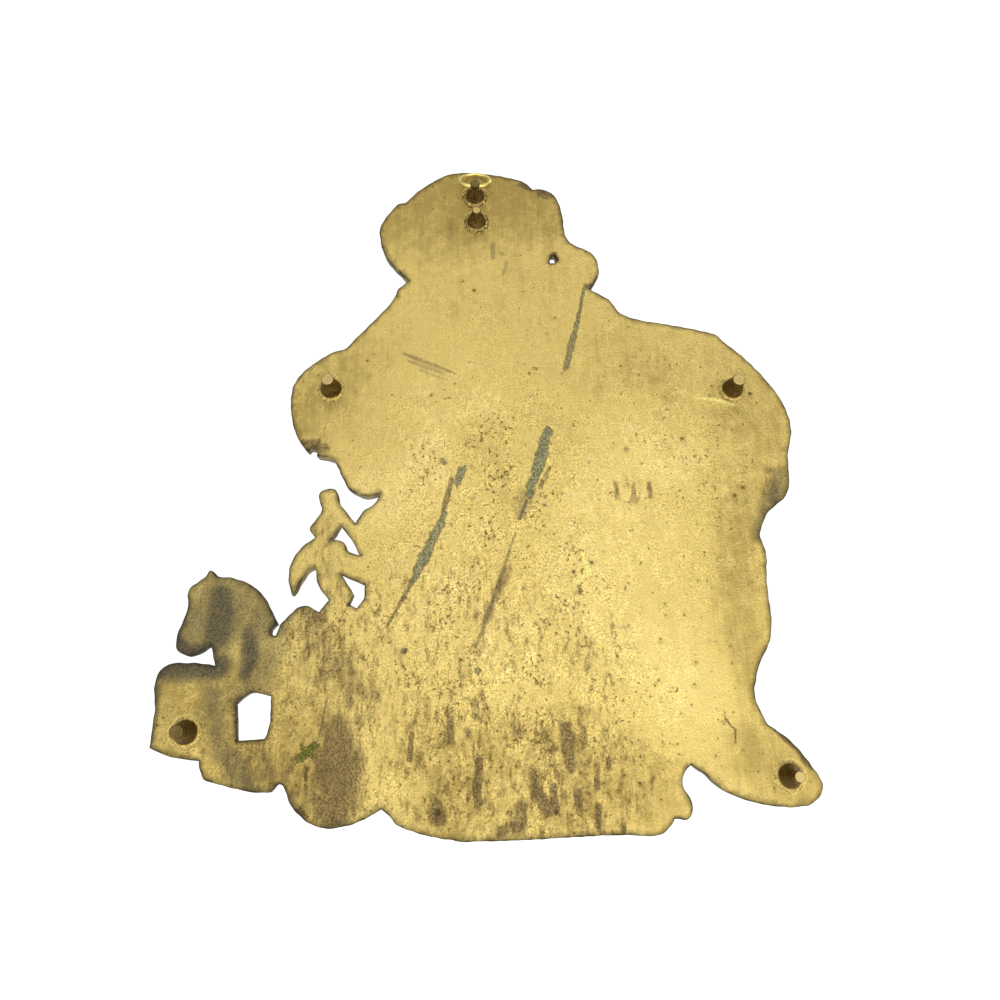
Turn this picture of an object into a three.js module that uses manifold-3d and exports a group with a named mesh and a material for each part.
// Cast brass wall plaque in the outline of a kneeling gift-bringer with a sack and toys: low relief
// in front, a flat ground back, six tapered pegs that hold it off the wall, and a wire ring through
// the top peg to hang it by.
//
// Millimetres. The forms are drawn in a drawing frame: x to the right as seen from the front, y up
// from the foot of the hem, z out of the back plane towards the viewer. The group at the end turns
// that upright (+Z up, front towards -Y) and puts the origin where a nail bears inside the ring.

import * as THREE from 'three';
import { mergeVertices } from 'three/addons/utils/BufferGeometryUtils.js';
import Module from 'manifold-3d';

const wasm = await Module();
wasm.setup();

// ---- Driving dimensions -----------------------------------------------------------------------

const EDGE_THICKNESS = 2.8; // thickness of the casting at its outline
const GROUND_THICKNESS = 3.2; // thickness of the plain ground between the forms
const EDGE_ROUNDING = 4.5; // width over which every form rounds down to the outline
const RELIEF_GRID = 3.1; // spacing of the relief's height points
const OUTLINE_STEP = 2.7; // longest straight side of a curved stretch of outline
const SIDES_PER_SPAN = 2.4; // fewest straight sides from one outline point to the next, on average

const PEG_HEIGHT = 7; // from the back plane to the peg's tip
const PEG_BASE_RADIUS = 3.4;
const PEG_TIP_BEVEL = 0.3;
const PEG_SHOULDER = 0.63; // share of the height where the cone ends and the straighter tip starts
const PEG_SHOULDER_STEP = 0.1; // how much wider than the tip the peg is there
const PEG_ROOT = 1.2; // how far a peg's root runs into the plate
const PEG_SIDES = 20;

const RING_HOLE_HEIGHT = 5.4; // cross-hole's axis above the back plane
const RING_HOLE_RADIUS = 0.95;
const RING_RADIUS = 5.15; // centre line of the ring's wire
const WIRE_RADIUS = 0.5;
const RING_REST_GAP = 0.3; // clearance under the leaning ring's far side
const RING_SIDES = 8;
const RING_STEPS = 32;

const BRASS = { color: 0x9c8440, roughness: 0.42, metalness: 1 };
const BRIGHT_BRASS = { color: 0xd9c25c, roughness: 0.25, metalness: 1 };

// Pegs: foot point, tip radius, and how far the tip stands off the back plane.
const PEGS = {
  top: { x: 0, y: 205.1, tip: 1.6, height: PEG_HEIGHT },
  second: { x: -0.5, y: 194.6, tip: 1.4, height: PEG_HEIGHT - 0.6 },
  arm: { x: 45.1, y: 130.9, tip: 1.95, height: PEG_HEIGHT },
  sack: { x: -82.2, y: 131.6, tip: 2, height: PEG_HEIGHT },
  block: { x: 77.9, y: 28.3, tip: 1.9, height: PEG_HEIGHT },
  boot: { x: -85.3, y: 15.4, tip: 1.5, height: PEG_HEIGHT },
};

// ---- Outline ----------------------------------------------------------------------------------
// Named stretches, clockwise as seen from the front, from the chin's notch on the right shoulder.
// Each runs smoothly through its points and starts where the one before it ends, at a corner.

const OUTLINE = {
  sleeve_back: [[22, 171], [25.5, 167.5], [27, 163.5], [39.5, 147.8], [41, 145.8], [46.6, 143.4], [56.3, 134],
    [57.2, 124], [54.2, 114], [51.1, 110]],
  cuff_chip: [[51.1, 110], [50.1, 111.4], [48.3, 110.2]],
  mitten: [[48.3, 110.2], [48.4, 108.6], [43.5, 107.6], [40.5, 102.5], [37.5, 97.5], [33, 95.6], [28.5, 96.4]],
  doll_raised_arm: [[28.5, 96.4], [30, 93.2], [33.3, 90.8], [35.4, 87.1]],
  doll_shoulder: [[35.4, 87.1], [40.4, 93.5]],
  doll_head: [[40.4, 93.5], [42, 97.8], [46.4, 96.8], [46.4, 93.7], [45.5, 91.8], [47, 88.2], [48.8, 85.6],
    [47, 82.8]],
  doll_skirt: [[47, 82.8], [51.6, 78.6], [53.8, 73], [53.2, 68], [52, 65.3], [50.6, 68.6], [48.3, 72.6],
    [46.4, 73.8]],
  doll_leg: [[46.4, 73.8], [45, 68.3], [41.9, 64.1]],
  parcel_bow: [[41.9, 64.1], [44.4, 60.7]],
  parcel_top: [[44.4, 60.7], [49, 62.7], [55.2, 57.2]],
  mane_slot: [[55.2, 57.2], [56.2, 53.9], [57.9, 55.7], [55.9, 57.6]],
  mane: [[55.9, 57.6], [61.8, 66.8], [67.5, 70.1], [74.2, 71.3]],
  ear: [[74.2, 71.3], [76.3, 73], [77.5, 71]],
  horse_face: [[77.5, 71], [81.8, 67.2], [81.4, 62.5], [83.6, 52.5], [82.6, 50], [79.1, 48.6], [73.7, 51.5]],
  horse_throat: [[73.7, 51.5], [72.1, 46]],
  block_top: [[72.1, 46], [79, 46.8], [86, 45.8], [87.8, 42], [87, 34], [87.1, 24.4]],
  block_foot: [[87.1, 24.4], [81.3, 22.1], [73.6, 20.9]],
  rocker: [[73.6, 20.9], [72.2, 16.7], [66, 14.6], [59, 13], [54.1, 12.9]],
  rocker_tip: [[54.1, 12.9], [52, 14.8], [50.7, 14.4]],
  ball: [[50.7, 14.4], [47.7, 8.6], [40.4, 4.1], [33, 4.6], [28.1, 6.4], [24.5, 8.3], [20.4, 4.5], [12, 1.7],
    [3, 0.2]],
  hem: [[3, 0.2], [-12, 0.4], [-27.5, 1], [-38, 1.3], [-48, 1.1], [-51, 2.3], [-53, 5.1]],
  hem_corner: [[-53, 5.1], [-57.1, 5.1], [-58.2, 8.5], [-55.9, 13.7], [-57, 17], [-58.7, 18.5]],
  boot: [[-58.7, 18.5], [-62, 16.2], [-66.7, 12.1], [-78.4, 8.1], [-90.4, 8.3], [-94.2, 12.5], [-91.3, 18.7],
    [-86.9, 24.4], [-81, 29]],
  coat_back: [[-81, 29], [-78.4, 36], [-80, 43.6], [-85.1, 53.7], [-85.8, 70], [-86.6, 76.8], [-85.4, 83.5]],
  sack_side: [[-85.4, 83.5], [-88.3, 89.8], [-95.6, 96.8], [-97.4, 109], [-99.6, 118.5], [-97.6, 128],
    [-89.7, 140.4], [-80.8, 149.5]],
  sack_top: [[-80.8, 149.5], [-79, 151.4], [-68, 154.3], [-51.5, 157.6], [-47.2, 160], [-45.4, 163.5],
    [-38.3, 168.5]],
  bobble: [[-38.3, 168.5], [-41.7, 175], [-40, 182.2], [-32.5, 186.8], [-30.8, 190.5], [-30, 199], [-27.5, 206.5],
    [-23, 209], [-20.3, 208.7]],
  cap_crown: [[-20.3, 208.7], [-16.8, 212], [-8.8, 214.3], [2, 215.6], [9.6, 214.5], [19.1, 207.9], [24.5, 202.2],
    [26.5, 201.8]],
  brim_end: [[26.5, 201.8], [30.4, 196.4], [32.4, 190.5], [29.5, 179.8], [25.7, 175], [22, 171]],
};

// Gaps cast right through the plate, and the small hole left where the metal ran short.
const GAPS = {
  doll_arm_gap: [[39.6, 86.2], [42.2, 82.1], [38.6, 81.3], [36.8, 78.4], [33.7, 77.4], [36.4, 82.2]],
  doll_leg_gap: [[38.7, 71.6], [31.8, 68.5], [31.9, 64.5], [33.8, 61.9], [36.1, 63], [34.7, 65.6]],
  rocker_window: [[61.7, 38.5], [55.9, 37.5], [55.8, 29.5], [56.8, 26.4], [64.1, 26], [65.3, 35.5]],
  casting_flaw: [[-25.2, 178.6], [-26.6, 178.5], [-27.9, 180], [-26.8, 182.3], [-25.6, 181.3]],
};

/**
 * Points along a smooth curve through `points`, with no side longer than `step` and no fewer sides
 * than a short stretch's own points ask for; two points give a line.
 */
function alongCurve(points, step) {
  if (points.length === 2) return points.map(([x, y]) => new THREE.Vector2(x, y));
  const curve = new THREE.CatmullRomCurve3(points.map(([x, y]) => new THREE.Vector3(x, y, 0)));
  const pieces = Math.max(
    Math.ceil(curve.getLength() / step),
    Math.ceil(SIDES_PER_SPAN * (points.length - 1)),
  );
  return curve.getSpacedPoints(pieces).map((p) => new THREE.Vector2(p.x, p.y));
}

/** The same loop of points, running anticlockwise. */
const anticlockwise = (loop) => (THREE.ShapeUtils.isClockWise(loop) ? loop.slice().reverse() : loop);

const outlinePoints = anticlockwise(
  Object.values(OUTLINE).flatMap((stretch) => alongCurve(stretch, OUTLINE_STEP).slice(1)),
);
const gapPoints = Object.values(GAPS).map((corners) => (
  anticlockwise(corners.map(([x, y]) => new THREE.Vector2(x, y)))
));

// ---- Relief -----------------------------------------------------------------------------------
// Each form is a function of a point that gives the height it reaches there, or 0 outside it. A
// form starts at the height `rim` along its own edge and reaches `top` in its middle.

/** Height of a rounded section at `q`, the squared distance from its middle over its half-width. */
const rounded = (q, rim, top, power = 0.5) => (q < 1 ? rim + (top - rim) * (1 - q) ** power : 0);

/** An oval mound, turned `turn` degrees anticlockwise. */
function mound(cx, cy, rx, ry, turn, rim, top) {
  const c = Math.cos(THREE.MathUtils.degToRad(turn));
  const s = Math.sin(THREE.MathUtils.degToRad(turn));
  return (x, y) => {
    const u = ((x - cx) * c + (y - cy) * s) / rx;
    const v = ((y - cy) * c - (x - cx) * s) / ry;
    return rounded(u * u + v * v, rim, top);
  };
}

/** A roll along a path of [x, y, half-width] stations; a lower `power` gives it a flatter top. */
function roll(stations, rim, top, power = 0.5) {
  return (x, y) => {
    let best = 0;
    for (let i = 1; i < stations.length; i += 1) {
      const [ax, ay, ar] = stations[i - 1];
      const [bx, by, br] = stations[i];
      const [dx, dy] = [bx - ax, by - ay];
      const t = THREE.MathUtils.clamp(((x - ax) * dx + (y - ay) * dy) / (dx * dx + dy * dy), 0, 1);
      const r = ar + (br - ar) * t;
      const q = ((x - ax - dx * t) ** 2 + (y - ay - dy * t) ** 2) / (r * r);
      best = Math.max(best, rounded(q, rim, top, power));
    }
    return best;
  };
}

/** A flat-topped block, turned `turn` degrees anticlockwise, with a sunk panel inside its frame. */
function tile(cx, cy, width, height, turn, top, frame = width, panelTop = top) {
  const c = Math.cos(THREE.MathUtils.degToRad(turn));
  const s = Math.sin(THREE.MathUtils.degToRad(turn));
  return (x, y) => {
    const u = Math.abs((x - cx) * c + (y - cy) * s);
    const v = Math.abs((y - cy) * c - (x - cx) * s);
    const inside = Math.min(width / 2 - u, height / 2 - v);
    if (inside < 0) return 0;
    return inside > frame ? panelTop : top;
  };
}

/** The same form with folds of `depth` that fan out from a point, `count` of them to a full turn. */
function fanned(form, fx, fy, count, depth, reach) {
  const [near, full] = [4, 16];
  return (x, y) => {
    const h = form(x, y);
    if (h === 0) return 0;
    const r = Math.hypot(x - fx, y - fy);
    const fade = THREE.MathUtils.smoothstep(r, near, full) * (1 - THREE.MathUtils.smoothstep(r, reach / 2, reach));
    return h - depth * fade * (0.5 - 0.5 * Math.cos(count * Math.atan2(y - fy, x - fx)));
  };
}

/** The tallest of several forms at each point. */
const tallest = (...forms) => (x, y) => Math.max(...forms.map((form) => form(x, y)));

const coat = tallest(
  fanned(mound(-14, 104, 54, 62, 0, 3.6, 5.6), -2, 168, 26, 0.7, 150),
  fanned(mound(-36, 48, 56, 50, 0, 3.6, 5.6), -16, 100, 30, 1.2, 120),
  fanned(mound(10, 42, 38, 36, -14, 4.4, 6.6), 26, 96, 30, 1, 110),
);
const furTrim = tallest(
  roll([[3, 122, 5.5], [5, 104, 5.5], [3, 84, 5.5], [-2, 50, 6], [-8, 14, 6.5]], 5, 7),
  roll([[-51, 12, 7], [-30, 9, 8], [-5, 8.5, 8], [13, 12, 8], [24, 21, 7.5]], 4.6, 7),
  roll([[-33, 150, 7.5], [-26, 138, 8], [-13, 128, 8], [2, 124, 8.5], [14, 130, 8], [22, 140, 7.5],
    [26, 150, 7]], 4.8, 6.8),
);
const belt = tallest(
  roll([[-58, 96, 5.5], [-44, 90, 5.5], [-28, 85.5, 5.5], [-10, 83, 5.5], [5, 83, 5.5], [20, 86.5, 5.5],
    [32, 92, 5.5]], 5.9, 6.6, 0.25),
  tile(3, 82.5, 17, 15, 0, 7.6, 3.2, 6),
);
const sack = fanned(mound(-64, 115, 38, 44, 6, 3.4, 6.4), -43, 156, 24, 1.5, 130);
const sackArm = tallest(
  fanned(roll([[-28, 146, 14], [-40, 136, 14], [-50, 122, 13]], 4.6, 7), -33, 126, 17, 0.9, 60),
  fanned(roll([[-50, 120, 12], [-47, 139, 9.5]], 4.8, 7.1), -34, 128, 17, 0.8, 50),
  roll([[-57, 139, 5.8], [-37, 144, 5.8]], 5.2, 7.5),
  mound(-43.5, 154.5, 9.5, 8, 30, 4.4, 7),
);
const toyArm = tallest(
  fanned(roll([[16, 156, 16], [32, 144, 15], [42, 132, 14.5]], 4.2, 6.8), 26, 122, 19, 0.9, 70),
  fanned(roll([[43, 129, 13.8], [41, 114, 10.5]], 4.6, 7.1), 26, 122, 19, 0.9, 50),
  roll([[53.5, 112, 6.6], [33, 119.5, 6.6]], 5.2, 7.5),
  mound(37.5, 103.5, 11, 8, 32, 4.2, 6.8),
  roll([[31, 108, 3.6], [29, 100, 3.2]], 4.8, 7.2),
);
const beard = fanned(
  tallest(
    mound(2, 141, 22, 30, 0, 4.6, 7.2),
    roll([[-14, 176, 5], [-17, 164, 7], [-10, 150, 10]], 4.8, 6.6),
    roll([[20, 176, 4.5], [21, 166, 6], [13, 150, 10]], 4.8, 6.6),
  ),
  3, 172, 32, 1.1, 100,
);
const face = tallest(
  mound(3, 170, 15.5, 16, 0, 5.2, 6.6),
  mound(-5.5, 166.5, 5.6, 4.6, 0, 5.4, 7),
  mound(11.8, 166.5, 5.6, 4.6, 0, 5.4, 7),
  roll([[3.2, 174, 1.8], [3.3, 166, 3]], 6, 7.6),
  mound(-5, 160.5, 9, 3.8, 18, 5.6, 7.4),
  mound(11.5, 160.5, 9, 3.8, -18, 5.6, 7.4),
);
const cap = tallest(
  mound(0, 199, 30, 17, 0, 3.8, 6.4),
  roll([[-6, 204, 11], [-20, 201, 10], [-27, 192, 8], [-32, 185, 6]], 4.2, 6.9),
  roll([[25, 187, 8.2], [16, 185, 7.8], [4, 184, 7.6], [-9, 185, 7.6], [-20, 188.5, 7.6]], 5.2, 7.5),
  mound(-35.5, 176.5, 7.6, 8.4, 20, 4.6, 7.5),
);
const boot = tallest(
  roll([[-66, 28, 13], [-84, 16.5, 9.5]], 3.6, 6.2),
  roll([[-58, 22, 5.5], [-74, 40, 5.5]], 4.8, 6.9),
);
const ball = mound(37.5, 18, 13.5, 14, 0, 4, 7.2);
const parcel = tallest(
  tile(38, 50, 24, 19, -7, 5.6),
  roll([[36.8, 40.5, 1.9], [39.2, 59.5, 1.9]], 5.8, 6.6),
  roll([[26, 51.5, 1.9], [50, 48.5, 1.9]], 5.8, 6.6),
  mound(46.5, 60, 5, 2.8, -20, 4.8, 6.6),
);
const block = tile(77.4, 34.6, 19.5, 22, 2, 6.2, 3, 5);
const rockingHorse = tallest(
  roll([[56, 45, 9], [62, 56, 9.5], [71, 61, 8.5]], 4, 6.2),
  roll([[74, 62, 8.2], [79.5, 54, 5]], 4.2, 6.6),
  mound(76, 70, 2.4, 3.4, 0, 4.4, 6.2),
  roll([[57.5, 56, 3.2], [62.5, 65, 3.4], [71, 69, 3.2]], 5, 6.9),
  roll([[52.5, 44, 4], [53, 20, 3]], 4, 5.6),
  roll([[55, 41, 3.2], [66, 41, 3.2]], 4, 5.6),
  roll([[51, 17, 3.6], [60, 16.6, 3.6], [67, 18, 3.6], [74, 22, 3.6]], 4, 5.8),
);
const doll = tallest(
  mound(43.3, 93.3, 3.8, 4.6, 0, 4, 6.2),
  roll([[43.6, 88, 2.6], [46, 81, 4.2]], 4, 6),
  roll([[45, 80, 4.5], [50, 73, 3.8], [52, 68, 2.2]], 4, 5.8),
  roll([[43.5, 80, 4], [38, 75, 3.6], [33, 74, 3]], 4, 5.6),
  roll([[43, 78, 3.6], [39.5, 69, 3.4], [39, 62, 3]], 4, 5.6),
  roll([[43.5, 87.5, 2.2], [37.5, 90, 2], [33, 93, 2.2]], 4, 5.6),
);
const relief = tallest(
  () => GROUND_THICKNESS, coat, sack, furTrim, belt, sackArm, toyArm, cap, beard, face, boot, ball, parcel,
  block, rockingHorse, doll,
);

/** Distance from a point to the nearest side of the closed polygon `loop`. */
function distanceToLoop(x, y, loop) {
  let nearest = Infinity;
  for (let i = 0; i < loop.length; i += 1) {
    const a = loop[i];
    const b = loop[(i + 1) % loop.length];
    const [dx, dy] = [b.x - a.x, b.y - a.y];
    const t = THREE.MathUtils.clamp(((x - a.x) * dx + (y - a.y) * dy) / (dx * dx + dy * dy), 0, 1);
    nearest = Math.min(nearest, Math.hypot(x - a.x - dx * t, y - a.y - dy * t));
  }
  return nearest;
}

/** Whether a point is inside the closed polygon `loop`. */
function insideLoop(x, y, loop) {
  let inside = false;
  for (let i = 0, j = loop.length - 1; i < loop.length; j = i, i += 1) {
    const crosses = loop[i].y > y !== loop[j].y > y;
    if (crosses && x < ((loop[j].x - loop[i].x) * (y - loop[i].y)) / (loop[j].y - loop[i].y) + loop[i].x) {
      inside = !inside;
    }
  }
  return inside;
}

/** Thickness of the casting: the relief, rounded down to the edge thickness along every edge. */
function thicknessAt(x, y) {
  const inMetal = insideLoop(x, y, outlinePoints) && !gapPoints.some((gap) => insideLoop(x, y, gap));
  if (!inMetal) return EDGE_THICKNESS;
  const loops = [outlinePoints, ...gapPoints];
  const toEdge = Math.min(...loops.map((loop) => distanceToLoop(x, y, loop))) / EDGE_ROUNDING;
  const rise = toEdge < 1 ? Math.sqrt(1 - (1 - toEdge) ** 2) : 1;
  return EDGE_THICKNESS + (relief(x, y) - EDGE_THICKNESS) * rise;
}

// ---- Solids -----------------------------------------------------------------------------------

/** A closed three.js geometry as a manifold solid. */
function toSolid(geometry) {
  const bare = geometry.clone();
  bare.deleteAttribute('normal');
  bare.deleteAttribute('uv');
  const merged = mergeVertices(bare, 1e-4);
  return new wasm.Manifold(new wasm.Mesh({
    numProp: 3,
    vertProperties: new Float32Array(merged.attributes.position.array),
    triVerts: new Uint32Array(merged.index.array),
  }));
}

/** A manifold solid as a three.js geometry. */
function toGeometry(solid) {
  const mesh = solid.getMesh();
  const geometry = new THREE.BufferGeometry();
  geometry.setAttribute('position', new THREE.BufferAttribute(new Float32Array(mesh.vertProperties), 3));
  geometry.setIndex(new THREE.BufferAttribute(new Uint32Array(mesh.triVerts), 1));
  geometry.computeVertexNormals();
  return geometry;
}

/** The block of metal under the relief: a height field over a grid that covers the whole outline. */
function reliefBlock() {
  const box = new THREE.Box2().setFromPoints(outlinePoints).expandByScalar(RELIEF_GRID);
  const columns = Math.ceil((box.max.x - box.min.x) / RELIEF_GRID);
  const rows = Math.ceil((box.max.y - box.min.y) / RELIEF_GRID);
  const floor = -2 * PEG_HEIGHT;
  const positions = [];
  for (let j = 0; j <= rows; j += 1) {
    for (let i = 0; i <= columns; i += 1) {
      const [x, y] = [box.min.x + i * RELIEF_GRID, box.min.y + j * RELIEF_GRID];
      positions.push(x, y, thicknessAt(x, y));
    }
  }
  const at = (i, j) => j * (columns + 1) + i;
  const height = (k) => positions[3 * k + 2];
  const faces = [];
  for (let j = 0; j < rows; j += 1) {
    for (let i = 0; i < columns; i += 1) {
      const [a, b, c, d] = [at(i, j), at(i + 1, j), at(i + 1, j + 1), at(i, j + 1)];
      const alongAC = Math.abs(height(a) - height(c)) < Math.abs(height(b) - height(d));
      faces.push(...(alongAC ? [a, b, c, a, c, d] : [a, b, d, b, c, d]));
    }
  }
  const rim = [];
  for (let i = 0; i < columns; i += 1) rim.push(at(i, 0));
  for (let j = 0; j < rows; j += 1) rim.push(at(columns, j));
  for (let i = columns; i > 0; i -= 1) rim.push(at(i, rows));
  for (let j = rows; j > 0; j -= 1) rim.push(at(0, j));
  const firstFloor = positions.length / 3;
  rim.forEach((k) => positions.push(positions[3 * k], positions[3 * k + 1], floor));
  const centre = positions.length / 3;
  positions.push((box.min.x + box.max.x) / 2, (box.min.y + box.max.y) / 2, floor);
  rim.forEach((k, n) => {
    const next = (n + 1) % rim.length;
    faces.push(k, firstFloor + n, rim[next], rim[next], firstFloor + n, firstFloor + next);
    faces.push(firstFloor + n, centre, firstFloor + next);
  });
  const geometry = new THREE.BufferGeometry();
  geometry.setAttribute('position', new THREE.Float32BufferAttribute(positions, 3));
  geometry.setIndex(faces);
  return toSolid(geometry);
}

/** The outline with its gaps, as a straight-sided plate thicker than any relief. */
function outlinePlate() {
  const shape = new THREE.Shape(outlinePoints);
  shape.holes = gapPoints.map((points) => new THREE.Path(points));
  return toSolid(new THREE.ExtrudeGeometry(shape, { depth: 3 * GROUND_THICKNESS, bevelEnabled: false }));
}

/** A tapered peg on the back: a cone that ends in a short straight tip with a small bevel. */
function peg({ x, y, tip, height }) {
  const profile = [[0, -PEG_ROOT], [PEG_BASE_RADIUS, -PEG_ROOT], [PEG_BASE_RADIUS, 0],
    [tip + PEG_SHOULDER_STEP, PEG_SHOULDER * height], [tip, height - PEG_TIP_BEVEL],
    [tip - PEG_TIP_BEVEL, height], [0, height]];
  const geometry = new THREE.LatheGeometry(profile.map(([r, h]) => new THREE.Vector2(r, h)), PEG_SIDES);
  geometry.rotateX(-Math.PI / 2);
  geometry.translate(x, y, 0);
  return toSolid(geometry);
}

/** The bored hole that runs across the top peg, from side to side. */
function ringHole() {
  const geometry = new THREE.CylinderGeometry(RING_HOLE_RADIUS, RING_HOLE_RADIUS, 4 * PEG_BASE_RADIUS, 16);
  geometry.rotateZ(Math.PI / 2);
  geometry.translate(PEGS.top.x, PEGS.top.y, -RING_HOLE_HEIGHT);
  return toSolid(geometry);
}

let casting = reliefBlock().intersect(outlinePlate());
for (const place of Object.values(PEGS)) casting = casting.add(peg(place));
casting = casting.subtract(ringHole());

// ---- Ring and assembly ------------------------------------------------------------------------

// The wire's arc inside the peg bows by this much; its mean line lies on the hole's axis.
const arcBow = RING_RADIUS - Math.sqrt(RING_RADIUS ** 2 - PEGS.top.tip ** 2);
const axisToCentre = RING_RADIUS - arcBow / 2;
const axisToFarSide = axisToCentre + RING_RADIUS;
const ringLean = Math.asin((RING_HOLE_HEIGHT - WIRE_RADIUS - RING_REST_GAP) / axisToFarSide);
const leanDirection = new THREE.Vector3(0, Math.cos(ringLean), Math.sin(ringLean));
const holeCentre = new THREE.Vector3(PEGS.top.x, PEGS.top.y, -RING_HOLE_HEIGHT);
const nailPoint = holeCentre.clone().addScaledVector(leanDirection, axisToFarSide - WIRE_RADIUS);

const castingMesh = new THREE.Mesh(toGeometry(casting), new THREE.MeshStandardMaterial(BRASS));
castingMesh.name = 'plaque_casting';

const ringGeometry = new THREE.TorusGeometry(RING_RADIUS, WIRE_RADIUS, RING_SIDES, RING_STEPS);
const ringMesh = new THREE.Mesh(ringGeometry, new THREE.MeshStandardMaterial(BRIGHT_BRASS));
ringMesh.name = 'hanging_ring';
ringMesh.rotation.x = ringLean;
ringMesh.position.copy(holeCentre).addScaledVector(leanDirection, axisToCentre);

const drawing = new THREE.Group();
drawing.add(castingMesh, ringMesh);
drawing.position.copy(nailPoint).negate();

const plaque = new THREE.Group();
plaque.rotation.x = Math.PI / 2;
plaque.add(drawing);

export default plaque;
